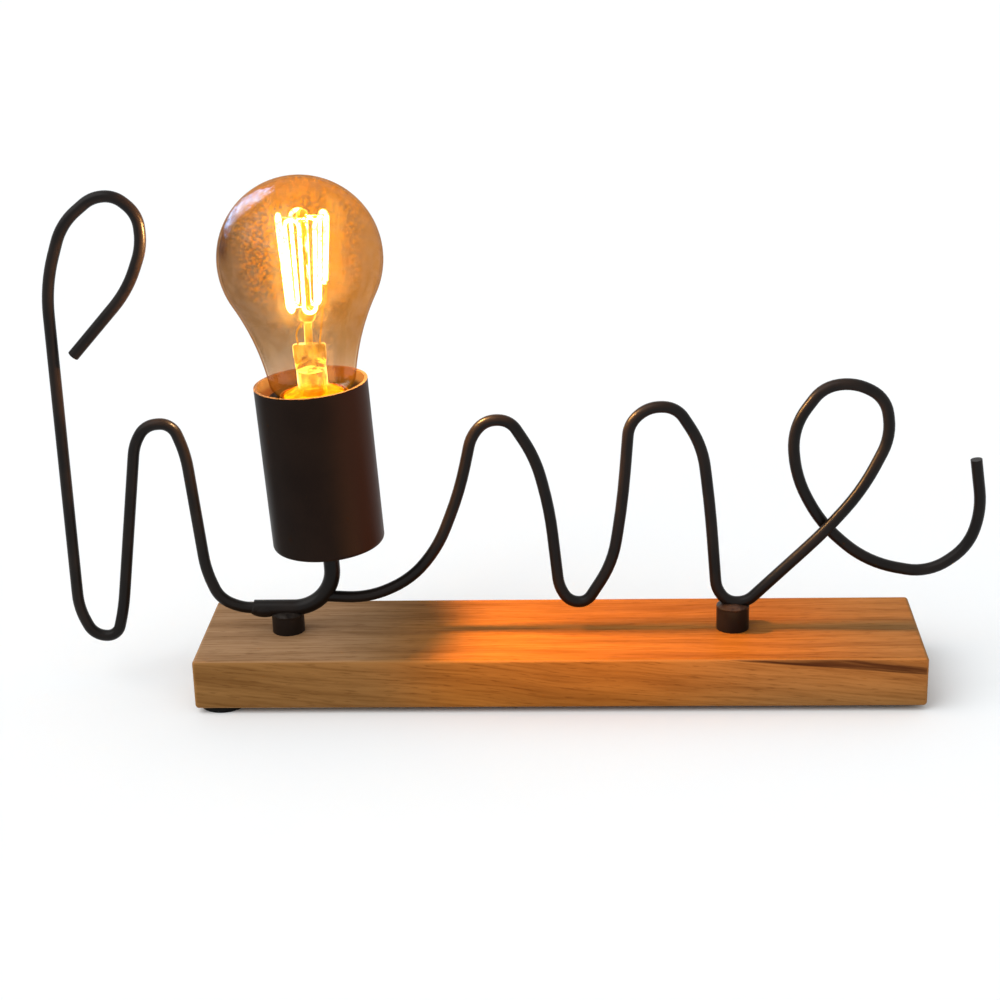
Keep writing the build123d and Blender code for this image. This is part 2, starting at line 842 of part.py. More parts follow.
def support_hooks(stem):
    """Straight wires from the glass rod to each turn of the filament."""
    hooks = []
    for strand in range(cage_strands - 1):
        inside = filament_dia / 2 + hook_dia / 2
        level = cage_low + inside if strand % 2 else cage_high - inside
        bearing = (cage_angle(strand) + cage_angle(strand + 1)) / 2
        x, y, _ = cage_point(strand, level)
        reach = sqrt(x**2 + y**2) * cos(pi / cage_strands) + filament_dia / 2
        place = mount_place * Pos(0, 0, level) * Rot(0, 0, bearing * 180 / pi) * Rot(0, 90, 0)
        hooks.append(place * upright(hook_dia / 2, 0, reach) - stem)
    return hooks


def lead_in_wires(stem):
    """The two wires from the press to the filament's ends, with a step below each end."""
    wires = []
    for side, strand in ((1, 0), (-1, cage_strands - 1)):
        x, y, level = cage_point(strand, ends_level)
        rise = press_top + lead_in_rise
        points = [(side * lead_in_spacing / 2, 0, press_top - press_edge)]
        if side < 0:
            points.append((side * lead_in_spacing / 2, -lead_in_detour, (press_top + rise) / 2))
        points.append(mounted(x - lead_in_step, y, rise))
        points.append(mounted(x, y, rise + lead_in_step))
        points.append(mounted(x, y, level))
        wire = swept(FilletPolyline(*points, radius=bend_radii(points)), Circle(lead_in_dia / 2))
        wires.append(wire - stem)
    return wires


# Build every node
stem_line = stem_path()
stem_bar = stem_outside(stem_line)
left_rod = left_script_rod()
right_rod = right_script_rod(stem_line, stem_bar)
left_collar, right_collar = collars(stem_bar, right_rod)
left_stud, left_washer, left_nut = left_fixing()
right_screw, right_washer = right_fixing()
block, pole_tubes, clamp_screws, block_screw = terminal_block()
sleeve, locknut = holder_sleeve()
terminal_posts, terminal_screws = lead_terminals()
cap_shell, cap_insulator, cap_contact = bulb_cap()
glass = glass_stem()

on_bar = {
    "base_block": base_block(),
    "rubber_feet": rubber_feet(),
    "channel_cover": channel_cover(),
    "cover_screws": cover_screws(),
    "cable_grommet": cable_grommet(),
    "terminal_block": block,
    "terminal_tubes": pole_tubes,
    "clamp_screws": clamp_screws,
    "block_screw": block_screw,
    "left_collar": left_collar,
    "left_nipple": left_stud,
    "left_washer": left_washer,
    "left_nut": left_nut,
    "right_collar": right_collar,
    "right_screw": right_screw,
    "right_washer": right_washer,
    "stem_tube": stem_tube(stem_line, stem_bar, left_rod),
    "left_script_rod": left_rod,
    "right_script_rod": right_rod,
    "live_lead": lead(1),
    "neutral_lead": lead(-1),
}
in_head = {
    "socket_cup": socket_cup(),
    "holder_nipple": sleeve,
    "holder_locknut": locknut,
    "lampholder_base": lampholder_base(),
    "lampholder_body": lampholder_body(),
    "contact_carrier": contact_carrier(),
    "screw_shell": screw_shell(),
    "lead_terminals": terminal_posts,
    "lead_screws": terminal_screws,
    "contact_plunger": contact_plunger(),
    "contact_spring": contact_spring(),
    "bulb_cap": cap_shell,
    "cap_insulator": cap_insulator,
    "cap_contact": cap_contact,
    "bulb_glass": globe(0) - globe(globe_wall),
    "glass_stem": glass,
    "lead_in_wires": lead_in_wires(glass),
    "support_hooks": support_hooks(glass),
    "filament": filament(),
}


def solids_of(shape):
    """The separate solids of a node, whether it is one shape or a group."""
    group = shape if isinstance(shape, list) else [shape]
    return [solid for item in group for solid in item.solids()]


# The origin goes to the middle of the lamp's own footprint, on the table
nodes = {name: solids_of(shape) for name, shape in on_bar.items()}
for name, shape in in_head.items():
    nodes[name] = [head_place * solid for solid in solids_of(shape)]
box = Compound([solid for group in nodes.values() for solid in group]).bounding_box()
to_origin = Pos(-(box.min.X + box.max.X) / 2, -(box.min.Y + box.max.Y) / 2, -box.min.Z)
print("lamp size", box.size, "moved by", to_origin.position)

os.makedirs("parts", exist_ok=True)
for name, group in nodes.items():
    placed = [to_origin * solid for solid in group]
    export_step(placed[0] if len(placed) == 1 else Compound(placed), f"parts/{name}.step")
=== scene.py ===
import json
from math import cos, radians, sin

import bpy
from mathutils import Matrix, Vector


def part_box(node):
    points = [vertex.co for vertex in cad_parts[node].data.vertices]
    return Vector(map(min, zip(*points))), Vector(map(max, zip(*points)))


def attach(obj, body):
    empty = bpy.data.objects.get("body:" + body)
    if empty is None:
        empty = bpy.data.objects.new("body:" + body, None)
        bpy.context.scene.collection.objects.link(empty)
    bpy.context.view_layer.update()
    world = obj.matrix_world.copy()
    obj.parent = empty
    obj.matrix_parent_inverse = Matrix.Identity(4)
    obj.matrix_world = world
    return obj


# Looks of the accent lamp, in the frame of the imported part: metres, +X to the right, +Y away, +Z up.
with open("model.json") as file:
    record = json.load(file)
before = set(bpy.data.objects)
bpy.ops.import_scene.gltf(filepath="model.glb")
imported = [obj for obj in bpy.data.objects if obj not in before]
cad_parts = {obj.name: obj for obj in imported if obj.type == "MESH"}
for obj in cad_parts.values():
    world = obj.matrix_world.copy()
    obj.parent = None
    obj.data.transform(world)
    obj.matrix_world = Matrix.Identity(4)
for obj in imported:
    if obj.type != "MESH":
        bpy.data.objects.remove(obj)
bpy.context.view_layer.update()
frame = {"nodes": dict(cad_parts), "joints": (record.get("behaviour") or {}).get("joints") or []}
nodes = frame["nodes"]

MM = 0.001

# Camera that the photograph was taken with, in millimetres, degrees and pixels
camera_place = (32.705, -746.485, 351.296)
camera_yaw = -3.083
camera_pitch = 20.225
camera_roll = -1.593
picture_width = 1000.0
focal_pixels = 2073.75
sensor_width = 36.0

# How near and how far the camera sees
nearest_sight = 0.01
farthest_sight = 50.0

# The lamp head leans with the bulb's axis. Levels along it count from the rim of the bulb's cap.
turn = next(joint for joint in frame["joints"] if joint["name"] == "bulb_turn")
head_axis = Vector(turn["axis"]).normalized()
cap_rim = Vector(turn["pos_m"])
globe_level = 52.0 * MM
globe_middle = cap_rim + head_axis * globe_level
flare_low = 2.0 * MM
flare_high = 5.0 * MM

# Corners of the bar and the filament, and heights of the collars
bar_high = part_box("base_block")[1]
filament_low, filament_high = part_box("filament")
left_collar_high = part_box("left_collar")[1].z
right_collar_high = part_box("right_collar")[1].z

# Nodes that share one look
rod_names = ("stem_tube", "left_script_rod", "right_script_rod")
steel_names = (
    "cover_screws", "clamp_screws", "block_screw", "left_nipple", "left_washer", "left_nut",
    "right_screw", "right_washer", "lead_screws", "contact_spring",
)
brass_names = (
    "terminal_tubes", "holder_nipple", "holder_locknut", "screw_shell", "lead_terminals",
    "contact_plunger", "bulb_cap", "cap_contact",
)

# Grain of the bar: sag of its fibres, their slope on the sides, and the middle of the rings at its ends
fibre_sag = 10.0 * MM
fibre_slope = 0.09
ring_middle = (0.0, 0.012, -0.06)

# Dark streak on the bar's front: how deep its two lines lie at the right end, their slopes, and how far
# they follow the fibres' sag
streak_upper_depth = 3.8 * MM
streak_upper_slope = 0.13
streak_lower_depth = 6.8 * MM
streak_lower_slope = 0.082
streak_sag = 0.15

# Paint: gloss on each piece, and depth of its orange peel and of the lumpy welds
rod_gloss = 0.14
collar_gloss = 0.12
cup_gloss = 0.03
peel_depth = 0.2 * MM
weld_depth = 0.4 * MM

# Globe: the values of the mottle of its painted glow between which its spots rise, the share of haze that
# spreads the filament's light, and the share and the painted glow of its deeper amber
spot_range = (0.46, 0.62)
haze_share = 0.018
amber_share = 0.6
amber_glow = 0.038

# Surround and floor
surround_light = 0.7
surround_seen = 1.0
floor_size = 12.0
floor_middle = (0.0, 3.0, 0.0)
floor_tone = (0.93, 0.955, 0.97, 1.0)

# Lights: strength, colour, place and size
daylight_strength = 1.6
daylight_place = (-0.6, -0.3, 0.75)
daylight_angle = radians(60)
window_power = 100.0
window_colour = (0.26, 0.56, 1.0)
window_from_globe = Vector((-1.22, 1.42, 0.8))
window_wide = 0.8
window_high = 1.4
wire_power = 4.4
wire_colour = (1.0, 0.74, 0.3)
wire_from_filament = Vector((3.0, -1.0, 6.0)) * MM
wire_rises = (-10 * MM, 0.0, 10 * MM)
rod_power = 13.0
rod_colour = (1.0, 0.84, 0.64)
wire_softness = 6 * MM
glow_power = 0.5
glow_colour = (1.0, 0.42, 0.08)
glow_place = Vector((0.09, -0.13, 0.001))
glow_wide = 0.2
glow_deep = 0.12


def srgb(red, green, blue, alpha=1.0):
    """A colour given as it shows on screen, 0 to 255, as linear light."""
    def linear(value):
        share = value / 255
        return share / 12.92 if share <= 0.04045 else ((share + 0.055) / 1.055) ** 2.4
    return (linear(red), linear(green), linear(blue), alpha)


class Network:
    """Shader nodes of one tree, put together one by one."""

    def __init__(self, tree):
        self.tree = tree
        self.tree.nodes.clear()

    def add(self, kind, values=None, **settings):
        """The outputs of a new node. Its inputs are plain values, or sockets to link."""
        node = self.tree.nodes.new("ShaderNode" + kind)
        for key, value in settings.items():
            setattr(node, key, value)
        for key, value in (values or {}).items():
            if isinstance(value, bpy.types.NodeSocket):
                self.tree.links.new(value, node.inputs[key])
            else:
                node.inputs[key].default_value = value
        return node.outputs

    def math(self, operation, *terms):
        """One operation on numbers."""
        return self.add("Math", dict(enumerate(terms)), operation=operation)[0]

    def product(self, first, *others):
        """All the given values, multiplied."""
        for other in others:
            first = self.math("MULTIPLY", first, other)
        return first

    def largest(self, first, *others):
        """The largest of the given values."""
        for other in others:
            first = self.math("MAXIMUM", first, other)
        return first


class Look(Network):
    """A procedural material, with its patterns in the part's own frame."""

    def __init__(self, name):
        self.material = bpy.data.materials.new(name)
        self.material.use_nodes = True
        super().__init__(self.material.node_tree)
        self.place = self.add("TexCoord")["Object"]

    def vector(self, operation, *terms, output="Vector"):
        """One operation on vectors."""
        return self.add("VectorMath", dict(enumerate(terms)), operation=operation)[output]

    def along(self, first, second):
        """How far one vector reaches along another."""
        return self.vector("DOT_PRODUCT", first, second, output="Value")

    def joined(self, x, y, z):
        """The vector of x, y and z."""
        return self.add("CombineXYZ", {0: x, 1: y, 2: z})[0]

    def parts(self, vector):
        """The x, y and z of a vector."""
        return self.add("SeparateXYZ", {0: vector})

    def normal(self):
        """The surface's own direction."""
        return self.add("NewGeometry")["Normal"]

    def facing(self):
        """0 where the surface is seen square on, 1 at its outline."""
        return self.add("LayerWeight", {"Blend": 0.5})["Facing"]

    def ease(self, value, low, high, start=0.0, end=1.0):
        """A smooth step from start to end, as a value goes from low to high."""
        values = {"Value": value, "From Min": low, "From Max": high, "To Min": start, "To Max": end}
        return self.add("MapRange", values, interpolation_type="SMOOTHSTEP")["Result"]

    def noise(self, counts, detail, place=None):
        """Soft noise with the given counts of cells along X, Y and Z, per unit of the place."""
        where = self.vector("MULTIPLY", self.place if place is None else place, counts)
        return self.add("TexNoise", {"Vector": where, "Scale": 1.0, "Detail": detail})["Fac"]

    def even_noise(self, count, detail, place=None):
        """Soft noise with the same count of cells along X, Y and Z."""
        return self.noise((count, count, count), detail, place)

    def between(self, share, first, second):
        """A number between two numbers."""
        return self.add("Mix", {0: share, 2: first, 3: second})[0]

    def mix(self, share, first, second, blend="MIX"):
        """A colour between two colours, or the first one with the second laid on it."""
        return self.add("Mix", {0: share, 6: first, 7: second}, data_type="RGBA", blend_type=blend)[2]

    def bump(self, height, strength, distance):
        """The surface's direction, tilted by a relief."""
        return self.add("Bump", {"Height": height, "Strength": strength, "Distance": distance})["Normal"]

    def from_rim(self):
        """The place, seen from the rim of the bulb's cap."""
        return self.vector("SUBTRACT", self.place, tuple(cap_rim))

    def level(self):
        """The height along the lamp head's axis, from the rim of the bulb's cap."""
        return self.along(self.from_rim(), tuple(head_axis))

    def shader(self, kind, **values):
        """One kind of surface. The values are named after its inputs."""
        inputs = {}
        for key, value in values.items():
            inputs[key.replace("_", " ").title().replace("Ior", "IOR")] = value
        return self.add(kind, inputs)[0]

    def blend(self, share, first, second):
        """A surface between two surfaces."""
        return self.add("MixShader", {0: share, 1: first, 2: second})[0]

    def summed(self, first, second):
        """The light of two surfaces together."""
        return self.add("AddShader", {0: first, 1: second})[0]

    def finish(self, surface):
        """The finished material."""
        self.add("OutputMaterial", {"Surface": surface})
        return self.material


def wood_grain(look, x, y, z, top, end):
    """The place along and across the fibres, and their sag.

    Fibres run along the bar: level on its top, dipping to the right on its sides, in rings at its ends.
    """
    drift = look.math("SUBTRACT", look.noise((9.0, 25.0, 30.0), 2.0), 0.5)
    sag = look.product(drift, fibre_sag)
    dipping = look.math("ADD", look.math("MULTIPLY_ADD", x, fibre_slope, z), sag)
    level = look.math("ADD", y, sag)
    from_middle = look.vector("SUBTRACT", look.joined(0.0, y, z), ring_middle)
    ring = look.vector("LENGTH", from_middle, output="Value")
    across = look.between(end, look.between(top, dipping, level), ring)
    return look.joined(x, across, 0.0), sag


def wood_streak(look, x, z, side_y, sag, fibre):
    """Where the dark streak lies: on the front, between two lines that run down to the right end."""
    from_right = look.math("SUBTRACT", bar_high.x, x)
    depth = look.math("SUBTRACT", bar_high.z, look.math("MULTIPLY_ADD", sag, streak_sag, z))
    upper = look.math("MULTIPLY_ADD", from_right, -streak_upper_slope, streak_upper_depth)
    lower = look.math("MULTIPLY_ADD", from_right, -streak_lower_slope, streak_lower_depth)
    below_upper = look.math("SUBTRACT", depth, upper)
    above_lower = look.math("SUBTRACT", lower, depth)
    inside = look.math("MINIMUM", above_lower, below_upper)
    return look.product(
        look.ease(above_lower, 0.0, 0.5 * MM),
        look.ease(below_upper, -1.5 * MM, 1.0 * MM),
        look.ease(side_y, -0.6, -0.9),
        look.ease(inside, 0.4 * MM, 1.8 * MM, 1.0, 0.9),
        look.ease(fibre, 0.35, 0.6, 0.7, 1.0),
    )


def wood():
    """Oiled hardwood with one dark streak, painted lamp light in the middle and a painted sheen at the
    left.
    """
    front_tone = srgb(144, 104, 59)
    top_tone = srgb(142, 104, 61)
    left_sheen_tone = srgb(172, 135, 99)
    front_pool_tone = srgb(168, 104, 38)
    near_pool_tone = srgb(156, 98, 38)
    far_pool_tone = srgb(138, 88, 38)
    streak_tone = srgb(56, 31, 16)
    edge_highlight_tone = srgb(196, 146, 92)

    look = Look("oiled_wood")
    x, y, z = look.parts(look.place)
    side_x, side_y, side_z = look.parts(look.normal())
    steepness = [look.math("ABSOLUTE", side) for side in (side_x, side_y, side_z)]
    end = look.ease(steepness[0], 0.5, 0.85)
    top = look.ease(steepness[2], 0.5, 0.85)

    grain, sag = wood_grain(look, x, y, z, top, end)
    band = look.noise((6.0, 150.0, 1.0), 4.0, grain)
    fibre = look.noise((40.0, 900.0, 1.0), 4.0, grain)
    fleck = look.noise((130.0, 1500.0, 1.0), 2.0, grain)

    # Painted light: a paler grey sheen on the left of the top, and a honey tone for the lamp's pool of
    # light over the wire lights' own light. The pool reaches further to the right on the top than on the
    # front
    painted_left = look.product(look.ease(x, -0.035, -0.085), top)
    lamp_pool = look.product(look.ease(x, -0.062, -0.02), look.ease(x, 0.15, 0.085))
    lamp_pool = look.product(lamp_pool, look.largest(top, look.ease(x, 0.11, 0.03, 0.0, 0.8)))
    # The painted pool fades towards the back, and on the front it paints warm light thrown back from the
    # table
    pool_tone = look.mix(look.ease(y, -5 * MM, 25 * MM), near_pool_tone, far_pool_tone)
    pool_tone = look.mix(top, front_pool_tone, pool_tone)
    tone = look.mix(top, front_tone, top_tone)
    # Painted sheen: the left of the top is paler and greyer
    tone = look.mix(painted_left, tone, left_sheen_tone)
    tone = look.mix(lamp_pool, tone, pool_tone)
    for pattern, low, high, share, shade in (
        (band, 0.35, 0.68, 0.9, (0.68, 0.62, 0.55, 1.0)),
        (fibre, 0.4, 0.75, 0.8, (0.66, 0.60, 0.52, 1.0)),
        (fleck, 0.57, 0.7, 0.55, (0.52, 0.44, 0.38, 1.0)),
    ):
        tone = look.mix(look.ease(pattern, low, high, 0.0, share), tone, shade, "MULTIPLY")
    tone = look.mix(wood_streak(look, x, z, side_y, sag, fibre), tone, streak_tone)

    # Painted highlight: rounded edges are a little paler
    edge_highlight = look.ease(look.largest(*steepness), 0.99, 0.75, 0.0, 0.15)
    tone = look.mix(edge_highlight, tone, edge_highlight_tone)

    relief = look.math("SUBTRACT", fibre, look.product(fleck, 0.6))
    return look.finish(
        look.shader(
            "BsdfPrincipled",
            base_color=tone,
            roughness=look.ease(fibre, 0.3, 0.7, 0.45, 0.6),
            normal=look.bump(relief, 0.15, 0.3 * MM),
            specular_ior_level=0.02,
        )
    )


def paint_coat(look):
    """Dark bronze paint: its tone, its roughness and the height of its faint orange peel."""
    cloud = look.even_noise(60.0, 4.0)
    peel = look.even_noise(1500.0, 2.0)
    tone = look.mix(look.ease(cloud, 0.35, 0.7), srgb(16, 12, 10), srgb(27, 20, 16))
    return tone, look.ease(cloud, 0.3, 0.7, 0.3, 0.4), look.product(peel, 0.06)


def painted(look, tone, rough, height, depth, gloss):
    """The finished paint, with a relief of the given depth."""
    return look.finish(
        look.shader(
            "BsdfPrincipled",
            base_color=tone,
            roughness=rough,
            normal=look.bump(height, 1.0, depth),
            specular_ior_level=gloss,
        )
    )


def rod_paint():
    """Painted rods and stem."""
    look = Look("dark_bronze_paint")
    tone, rough, peel = paint_coat(look)
    return painted(look, tone, rough, peel, peel_depth, rod_gloss)


def collar_paint(name, high, dark, pale, painted_lift):
    """A painted collar, lighter by a factor that paints light on it, with a lumpy weld on its top between
    two tones.
    """
    look = Look(name)
    tone, rough, peel = paint_coat(look)
    # Painted light: the factor lightens the whole paint
    tone = look.mix(1.0, tone, (painted_lift, painted_lift, painted_lift, 1.0), "MULTIPLY")
    lump = look.even_noise(420.0, 3.0)
    ragged = look.math("MULTIPLY_ADD", lump, 1.6 * MM, look.parts(look.place)[2])
    weld = look.ease(ragged, high - 1.2 * MM, high - 0.2 * MM)
    tone = look.mix(weld, tone, look.mix(look.ease(lump, 0.35, 0.65), dark, pale))
    height = look.math("MULTIPLY_ADD", look.product(weld, lump), 1.2, peel)
    return painted(look, tone, rough, height, weld_depth, collar_gloss)


def cup_paint():
    """The cup: dark paint with painted warm light on the side that faces right, and a paler coat on the
    inside of its mouth.
    """
    look = Look("cup_paint")
    tone, rough, peel = paint_coat(look)
    tone = look.mix(0.5, tone, srgb(31, 22, 18))
    # Painted light: warm light thrown back from the lit wood, on the side that faces right
    painted_warm_side = look.ease(look.parts(look.normal())[0], 0.2, 0.95)
    tone = look.mix(painted_warm_side, tone, srgb(50, 31, 23))
    outward = look.vector("NORMALIZE", look.vector("MULTIPLY", look.from_rim(), (1.0, 1.0, 0.0)))
    inner = look.ease(look.along(look.normal(), outward), 0.5, -0.5)
    mouth = look.product(inner, look.ease(look.level(), -1.0 * MM, 1.0 * MM))
    stain = look.noise((80.0, 80.0, 30.0), 4.0)
    pale = look.mix(look.ease(stain, 0.3, 0.7), srgb(52, 40, 30), srgb(67, 52, 41))
    tone = look.mix(mouth, tone, pale)
    return painted(look, tone, rough, peel, peel_depth, cup_gloss)


def metal(name, dark, light, roughness):
    """Bare metal with cloudy tone and fine scratches."""
    look = Look(name)
    cloud = look.even_noise(120.0, 4.0)
    scratch = look.noise((400.0, 3000.0, 3000.0), 2.0)
    return look.finish(
        look.shader(
            "BsdfPrincipled",
            base_color=look.mix(look.ease(cloud, 0.3, 0.7), dark, light),
            metallic=1.0,
            roughness=look.ease(scratch, 0.3, 0.7, roughness * 0.8, roughness * 1.3),
            normal=look.bump(scratch, 0.05, 0.1 * MM),
        )
    )


def moulded(name, dark, light, roughness, gloss=0.4):
    """Plastic, rubber or ceramic with a faintly uneven tone and a fine skin."""
    look = Look(name)
    cloud = look.even_noise(90.0, 4.0)
    skin = look.even_noise(3500.0, 2.0)
    return look.finish(
        look.shader(
            "BsdfPrincipled",
            base_color=look.mix(look.ease(cloud, 0.3, 0.7), dark, light),
            roughness=look.ease(cloud, 0.3, 0.7, roughness * 0.85, roughness * 1.15),
            normal=look.bump(skin, 0.1, 0.2 * MM),
            specular_ior_level=gloss,
        )
    )


def globe_tint(look, level, outward, painted_glow_area, mottle, painted_amber):
    """The globe's tint: paler at the neck, browner at the left as painted shade, with deeper amber and
    amber spots as painted glow.
    """
    cloud = look.noise((3.0, 3.0, 2.0), 3.0, outward)
    neck = look.ease(level, 26 * MM, 4 * MM, 0.0, 0.8)
    # Painted shade: the glass is browner at the left
    painted_left = look.ease(look.parts(outward)[0], -0.2, -0.8, 0.0, 0.4)
    # Spots of painted glow in the tint
    glow_spots = look.product(painted_glow_area, look.ease(mottle, *spot_range, 0.0, 0.7))
    tint = look.mix(look.ease(cloud, 0.3, 0.7), srgb(222, 204, 180), srgb(234, 219, 200))
    tint = look.mix(neck, tint, srgb(241, 231, 221))
    # Painted glow: deeper amber at the right and on the crown
    tint = look.mix(look.product(painted_amber, amber_share), tint, srgb(235, 210, 172))
    tint = look.mix(painted_left, tint, srgb(212, 191, 166))
    return look.mix(glow_spots, tint, srgb(228, 188, 132))


def globe_outline(look, tint, facing, level, outward):
    """The tint with a browner outer skin along the outline, and a painted reflection of a dark room as
    upright dark streaks at its upper left.
    """
    geometry = look.add("NewGeometry")
    turned = look.along(geometry["Normal"], outward)
    turned = look.product(turned, look.ease(geometry["Backfacing"], 0.0, 1.0, 1.0, -1.0))
    skin = look.product(look.ease(turned, -0.05, 0.05), look.ease(facing, 0.68, 0.82))
    # Painted reflection of a dark room: upright dark streaks at the upper left
    upright = look.noise((14.0, 14.0, 2.5), 3.0, outward)
    painted_reflection = look.product(
        look.ease(look.parts(outward)[0], -0.7, -0.88),
        look.ease(facing, 0.42, 0.6),
        look.ease(upright, 0.4, 0.55, 0.0, 0.75),
        look.ease(level, 53 * MM, 60 * MM, 0.1, 1.0),
    )
    tint = look.mix(skin, tint, srgb(198, 162, 120))
    return look.mix(painted_reflection, tint, srgb(172, 136, 98))


def globe_glow(look, level, painted_glow_area, mottle, painted_amber):
    """Painted glow round the filament: strongest in its spots, and a little above the flare of the inner
    glass.
    """
    low = look.ease(level, 14 * MM, 3 * MM, 0.0, 0.05)
    power = look.math("MULTIPLY_ADD", painted_glow_area, look.ease(mottle, *spot_range, 0.02, 0.24), low)
    power = look.math("MULTIPLY_ADD", painted_amber, amber_glow, power)
    return look.shader("Emission", color=srgb(255, 160, 16), strength=power)


def globe_glass():
    """Thin amber glass: browner at its outline, with a mottled painted glow round the filament."""
    look = Look("amber_glass")
    facing = look.facing()
    level = look.level()
    outward = look.vector("NORMALIZE", look.vector("SUBTRACT", look.place, tuple(globe_middle)))
    mottle = look.even_noise(25.0, 3.0, outward)

    # The painted glow lies in front of and behind the filament, and on the crown
    painted_glow_area = look.product(look.ease(facing, 0.05, 0.5, 1.0, 0.0), look.ease(level, 18 * MM, 46 * MM))
    painted_glow_area = look.math("ADD", painted_glow_area, look.ease(level, 58 * MM, 76 * MM))
    # Painted glow: the glass is a deeper amber, and glows more, at the right and on the crown
    right = look.ease(look.parts(outward)[0], 0.0, 0.8)
    painted_amber = look.largest(right, look.ease(level, 60 * MM, 80 * MM))

    tint = globe_tint(look, level, outward, painted_glow_area, mottle, painted_amber)
    tint = globe_outline(look, tint, facing, level, outward)
    clear = look.shader("BsdfTransparent", color=tint)
    haze = look.shader("BsdfRefraction", color=srgb(255, 206, 96), roughness=0.45, ior=1.45)
    glow = globe_glow(look, level, painted_glow_area, mottle, painted_amber)
    body = look.summed(look.blend(haze_share, clear, haze), glow)

    # The gloss is wavy and smeared, and stronger towards the outline
    wave = look.bump(look.even_noise(12.0, 4.0, outward), 0.3, 1.0 * MM)
    smear = look.ease(look.even_noise(9.0, 4.0, outward), 0.35, 0.6, 0.4, 1.2)
    shine = look.math("MULTIPLY_ADD", look.math("POWER", facing, 5.0), 0.1, 0.025)
    gloss = look.shader("BsdfGlossy", roughness=0.03, normal=wave)
    return look.finish(look.blend(look.product(shine, smear), body, gloss))


def stem_glass():
    """The inner glass with a painted glow of the filament's light: amber, with bright yellow edges and an
    orange flare.
    """
    look = Look("lit_glass")
    height = look.ease(look.level(), flare_low, flare_high)
    streak = look.noise((350.0, 350.0, 140.0), 3.0)
    edge = look.ease(look.facing(), 0.2, 0.85)
    deep = look.mix(height, srgb(255, 146, 8), srgb(255, 226, 90))
    bright = look.mix(height, srgb(255, 156, 14), srgb(255, 250, 170))
    power = look.product(
        look.ease(edge, 0.0, 1.0, 0.4, 1.8),
        look.ease(streak, 0.38, 0.62, 0.2, 1.9),
        look.ease(height, 0.0, 1.0, 0.6, 1.0),
    )
    power = look.math("ADD", power, look.ease(height, 0.0, 1.0, 0.5, 0.0))
    # Painted glow: the inner glass is no lamp
    glow = look.shader("Emission", color=look.mix(edge, deep, bright), strength=power)
    glass = look.shader("BsdfGlass", color=srgb(255, 226, 160), roughness=0.03, ior=1.2)
    return look.finish(look.summed(glass, glow))


def glowing(name, colour, low, high):
    """A wire that glows, a little unevenly along its length."""
    look = Look(name)
    power = look.ease(look.even_noise(300.0, 2.0), 0.3, 0.7, low, high)
    return look.finish(look.shader("Emission", color=colour, strength=power))


def dress():
    """Gives every CAD node its material."""
    black = moulded("black_phenolic", srgb(14, 11, 10), srgb(24, 19, 17), 0.5, 0.1)
    rubber = moulded("black_rubber", srgb(10, 9, 9), srgb(20, 19, 18), 0.75, 0.1)
    looks = {
        "base_block": wood(),
        "rubber_feet": rubber,
        "cable_grommet": rubber,
        "channel_cover": moulded("cover_board", srgb(40, 36, 33), srgb(54, 49, 45), 0.6),
        "terminal_block": moulded("pale_nylon", srgb(214, 210, 200), srgb(232, 229, 220), 0.5),
        "contact_carrier": moulded("glazed_ceramic", srgb(222, 217, 206), srgb(238, 234, 226), 0.25),
        "left_collar": collar_paint(
            "left_collar_paint", left_collar_high, srgb(26, 21, 18), srgb(44, 38, 34), 1.0
        ),
        # Painted warm light from the lit wood: the right collar's paint and weld are lighter and warmer
        "right_collar": collar_paint(
            "right_collar_paint", right_collar_high, srgb(36, 25, 20), srgb(58, 44, 36), 1.65
        ),
        "socket_cup": cup_paint(),
        "lampholder_base": black,
        "lampholder_body": black,
        "live_lead": moulded("brown_insulation", srgb(84, 48, 28), srgb(104, 62, 38), 0.4),
        "neutral_lead": moulded("blue_insulation", srgb(30, 76, 140), srgb(44, 96, 164), 0.4),
        "cap_insulator": moulded("black_vitrite", srgb(12, 12, 14), srgb(24, 24, 28), 0.15),
        "bulb_glass": globe_glass(),
        "glass_stem": stem_glass(),
        "filament": glowing("filament_glow", srgb(255, 230, 150), 32.0, 48.0),
        # The lead-in wires are no lamp: their glow is painted light from the filament
        "lead_in_wires": glowing("lead_painted_glow", srgb(255, 190, 70), 0.8, 1.8),
        "support_hooks": metal("nickel_wire", srgb(150, 140, 120), srgb(190, 176, 150), 0.3),
    }
    steel = metal("zinc_plated_steel", srgb(150, 148, 142), srgb(190, 188, 182), 0.35)
    brass = metal("brass", srgb(176, 130, 62), srgb(206, 164, 92), 0.3)
    for names, look in ((rod_names, rod_paint()), (steel_names, steel), (brass_names, brass)):
        looks.update(dict.fromkeys(names, look))
    for name, node in nodes.items():
        node.data.materials.clear()
        node.data.materials.append(looks[name])


def camera():
    """The camera that was fitted to the photograph."""
    yaw, pitch, roll = radians(camera_yaw), radians(camera_pitch), radians(camera_roll)
    ahead = Vector((sin(yaw) * cos(pitch), cos(yaw) * cos(pitch), -sin(pitch)))
    right = Vector((cos(yaw), -sin(yaw), 0.0))
    up = right.cross(ahead)
    level_right = cos(roll) * right + sin(roll) * up
    level_up = -sin(roll) * right + cos(roll) * up
    data = bpy.data.cameras.new("camera")
    data.sensor_width = sensor_width
    data.lens = focal_pixels / picture_width * sensor_width
    data.clip_start = nearest_sight
    data.clip_end = farthest_sight
    eye = bpy.data.objects.new("camera", data)
    bpy.context.scene.collection.objects.link(eye)
    turned = Matrix((level_right, level_up, -ahead)).transposed()
    eye.matrix_world = Matrix.Translation(Vector(camera_place) * MM) @ turned.to_4x4()
    bpy.context.scene.camera = eye


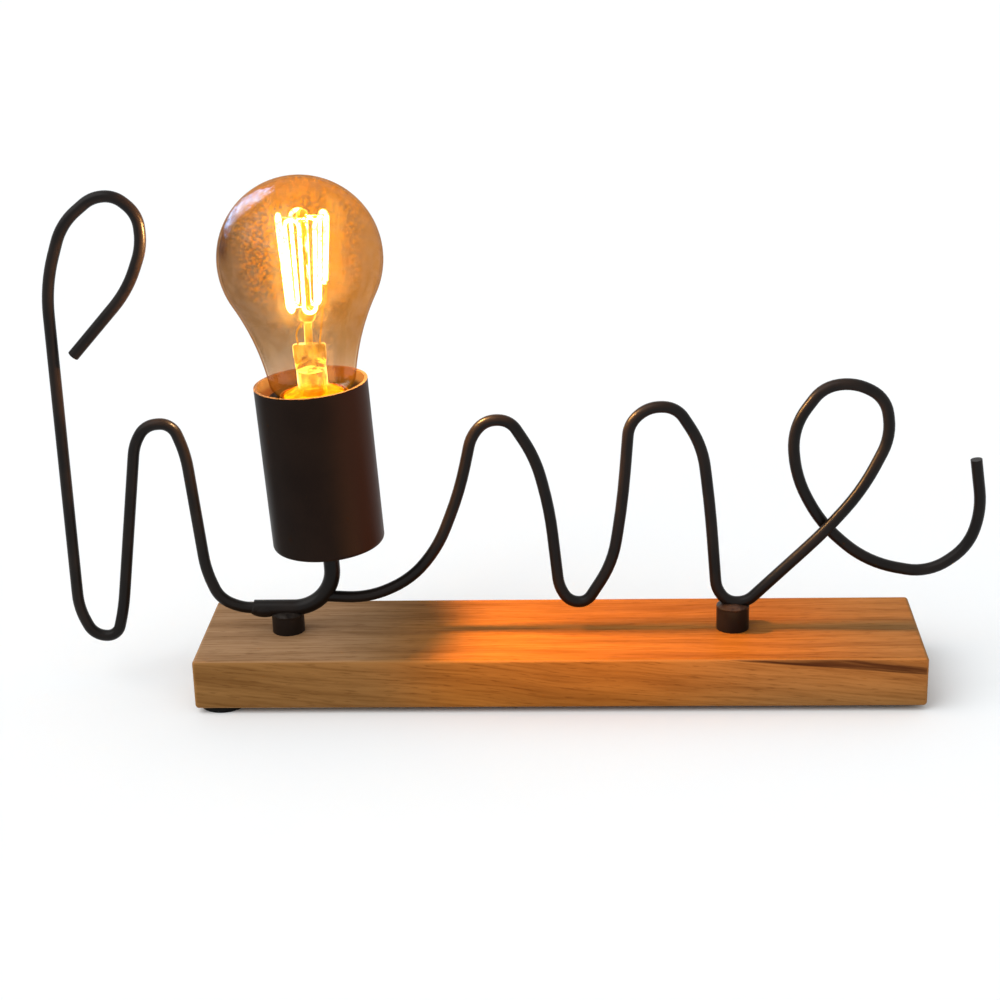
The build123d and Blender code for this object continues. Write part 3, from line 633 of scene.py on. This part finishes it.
def light(name, kind, energy, place, towards, **settings):
    """One light at a place, turned towards a point."""
    data = bpy.data.lights.new(name, kind)
    data.energy = energy
    for key, value in settings.items():
        setattr(data, key, value)
    lamp = bpy.data.objects.new(name, data)
    bpy.context.scene.collection.objects.link(lamp)
    lamp.location = place
    lamp.rotation_euler = (Vector(towards) - Vector(place)).to_track_quat("-Z", "Y").to_euler()
    return lamp


def linked(lamp, state, *things):
    """Lets a light fall on some things only, or on all but these."""
    receivers = bpy.data.collections.new(lamp.name + "_receivers")
    for number, thing in enumerate(things):
        receivers.objects.link(thing)
        receivers.collection_objects[number].light_linking.link_state = state
    lamp.light_linking.receiver_collection = receivers


def surround():
    """A white surround, a little weaker as a light than as a background."""
    world = bpy.data.worlds.new("white")
    bpy.context.scene.world = world
    world.use_nodes = True
    network = Network(world.node_tree)
    rays = network.add("LightPath")
    seen = network.largest(rays["Is Camera Ray"], rays["Is Glossy Ray"], rays["Is Transmission Ray"])
    strength = {"Value": seen, "To Min": surround_light, "To Max": surround_seen}
    strength = network.add("MapRange", strength)["Result"]
    background = network.add("Background", {"Color": (1.0, 1.0, 1.0, 1.0), "Strength": strength})[0]
    network.add("OutputWorld", {"Surface": background})


def table():
    """The pale floor that the lamp stands on."""
    bpy.ops.mesh.primitive_plane_add(size=floor_size, location=floor_middle)
    floor = bpy.context.object
    floor.name = "floor"
    look = Look("pale_floor")
    matt = look.shader("BsdfPrincipled", base_color=floor_tone, roughness=0.9, specular_ior_level=0.0)
    floor.data.materials.append(look.finish(matt))
    return floor


def studio(floor):
    """Soft daylight from the upper left, a window behind, and the lit lamp's own light."""
    light("daylight", "SUN", daylight_strength, daylight_place, (0.0, 0.0, 0.0), angle=daylight_angle)
    window = light(
        "window", "AREA", window_power, globe_middle + window_from_globe, globe_middle,
        color=window_colour, shape="RECTANGLE", size=window_wide, size_y=window_high,
    )
    source = (filament_low + filament_high) / 2 + wire_from_filament
    wires = []
    for rise in wire_rises:
        wires.append(
            light(
                "wire_light", "POINT", wire_power, source + Vector((0.0, 0.0, rise)), bar_high,
                color=wire_colour, shadow_soft_size=wire_softness,
            )
        )
    shine = light(
        "rod_light", "POINT", rod_power, source, bar_high,
        color=rod_colour, shadow_soft_size=wire_softness,
    )
    for lamp in (*wires, shine):
        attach(lamp, "bulb")
    glow = light(
        "table_glow", "AREA", glow_power, glow_place, glow_place + Vector((0.0, 0.0, 1.0)),
        color=glow_colour, shape="RECTANGLE", size=glow_wide, size_y=glow_deep,
    )

    # The window lights the globe only. The wires leave the floor white, and a paler light is on the rods.
    glass = nodes["bulb_glass"]
    rods = [nodes[name] for name in rod_names]
    for wire in wires:
        linked(wire, "EXCLUDE", floor, glass, nodes["lampholder_body"], *rods)
    linked(shine, "INCLUDE", *rods)
    linked(glow, "EXCLUDE", floor, *rods)
    linked(window, "INCLUDE", glass)


dress()
camera()
surround()
studio(table())

bpy.context.scene.view_settings.view_transform = "Standard"
